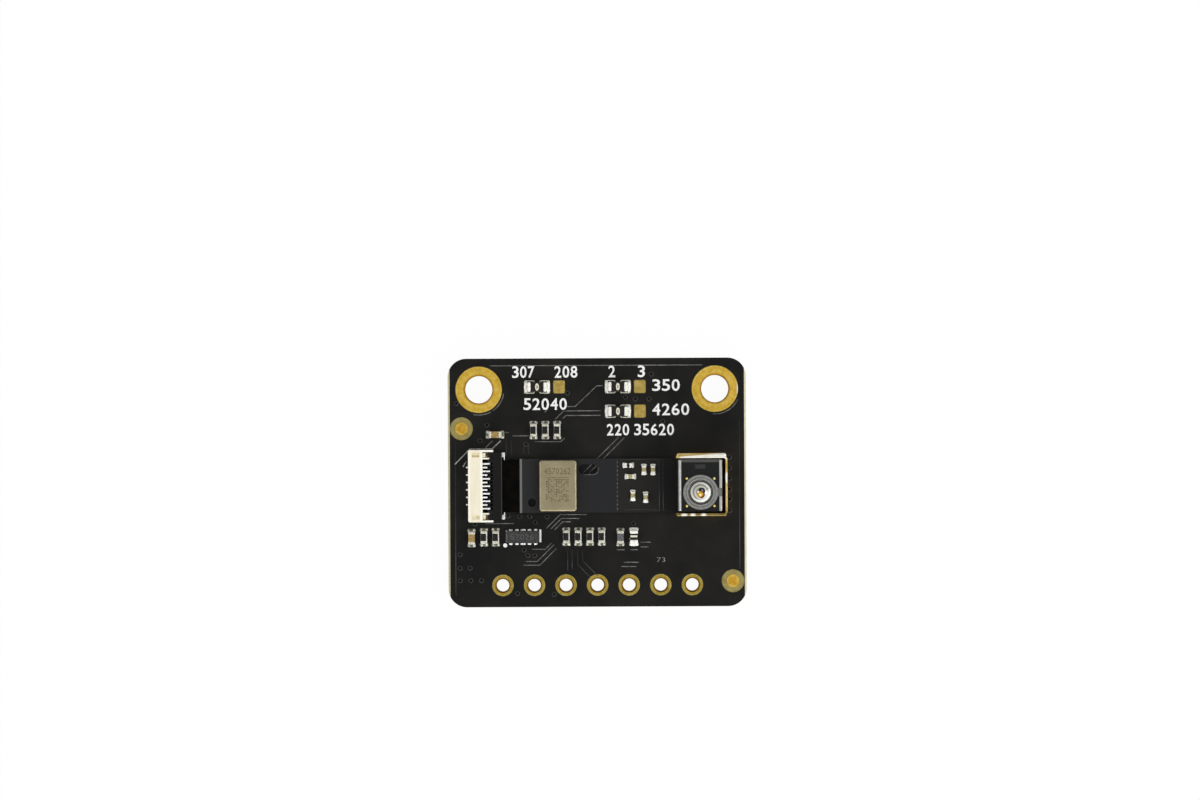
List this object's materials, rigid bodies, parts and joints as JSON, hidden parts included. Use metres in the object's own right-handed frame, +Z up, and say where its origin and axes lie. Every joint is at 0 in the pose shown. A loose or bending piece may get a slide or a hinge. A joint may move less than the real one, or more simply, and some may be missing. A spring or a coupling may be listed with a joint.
{
  "type": "air quality sensor module",
  "caption": "Black breakout board with an optical particle sensor on a short flex circuit, a flip-lock flex connector and a row of header holes.",
  "frame": {"origin": "centre of the board's underside", "axes": "+X along the board's long side towards the sensor head, +Y towards the two mounting holes, +Z up out of the component side"},
  "size_m": [0.024, 0.02, 0.005],
  "materials": {
    "laminate": "bare glass-epoxy laminate",
    "solder_mask": "satin black solder mask",
    "gold": "satin immersion gold",
    "cream_plastic": "moulded cream plastic",
    "plated_contact": "plated spring metal",
    "plated_nail": "plated sheet metal",
    "black_nylon": "moulded black plastic",
    "flex_coverlay": "matte black coverlay",
    "black_stiffener": "glossy black film",
    "backing_pad": "black adhesive pad",
    "chip_substrate": "dark laminate",
    "nickel_lid": "satin nickel silver",
    "black_housing": "moulded black plastic",
    "grey_metal": "satin sheet metal",
    "lens_glass": "polished glass",
    "grey_ring": "moulded grey plastic",
    "gilt_sheet": "gold-plated sheet",
    "chip_moulding": "epoxy moulding",
    "tin": "tinned lead",
    "bead_ferrite": "fired ferrite",
    "diode_moulding": "epoxy moulding",
    "chip_resistor": "glazed film on ceramic",
    "chip_capacitor": "fired ceramic",
    "solder": "reflowed solder"
  },
  "bodies": {
    "board": {"printed_board": "laminate", "top_solder_mask": "solder_mask", "bottom_solder_mask": "solder_mask", "header_eyelet_1": "gold", "header_eyelet_2": "gold", "header_eyelet_3": "gold", "header_eyelet_4": "gold", "header_eyelet_5": "gold", "header_eyelet_6": "gold", "header_eyelet_7": "gold", "jumper_pad_1": "gold", "jumper_pad_2": "gold", "jumper_pad_3": "gold", "connector_housing": "cream_plastic", "connector_rear_contacts": "plated_contact", "connector_front_contacts": "plated_contact", "connector_hold_downs": "plated_nail", "flex_circuit": "flex_coverlay", "flex_stiffener": "black_stiffener", "flex_backing": "backing_pad", "driver_chip_base": "chip_substrate", "driver_chip_lid": "nickel_lid", "sensor_housing": "black_housing", "sensor_side_plates": "grey_metal", "sensor_lens": "lens_glass", "lens_ring": "grey_ring", "sensor_emitter": "gold", "sensor_pins": "gold", "sensor_bracket": "gilt_sheet", "protector_body": "chip_moulding", "protector_leads": "tin", "jumper_resistor_1": "chip_resistor", "jumper_resistor_2": "chip_resistor", "jumper_resistor_3": "chip_resistor", "resistor_1": "chip_resistor", "resistor_2": "chip_resistor", "resistor_3": "chip_resistor", "resistor_4": "chip_resistor", "resistor_5": "chip_resistor", "resistor_6": "chip_resistor", "resistor_7": "chip_resistor", "resistor_8": "chip_resistor", "resistor_9": "chip_resistor", "capacitor_1": "chip_capacitor", "capacitor_2": "chip_capacitor", "ferrite_bead": "bead_ferrite", "diode": "diode_moulding", "flex_resistor": "chip_resistor", "flex_capacitor_1": "chip_capacitor", "flex_capacitor_2": "chip_capacitor", "flex_capacitor_3": "chip_capacitor", "flex_capacitor_4": "chip_capacitor", "flex_capacitor_5": "chip_capacitor", "solder_joints": "solder", "mounting_eyelet_1": "gold", "mounting_eyelet_2": "gold", "fiducial_1": "gold", "fiducial_2": "gold"},
    "connector_latch": {"connector_latch": "black_nylon"}
  },
  "joints": [
    {"name": "connector_latch_hinge", "type": "hinge", "parent": "board", "child": "connector_latch", "pos_m": [-0.00862, -0.00025, 0.00222], "axis": [0, -1, 0], "range_deg": [0, 90]}
  ]
}
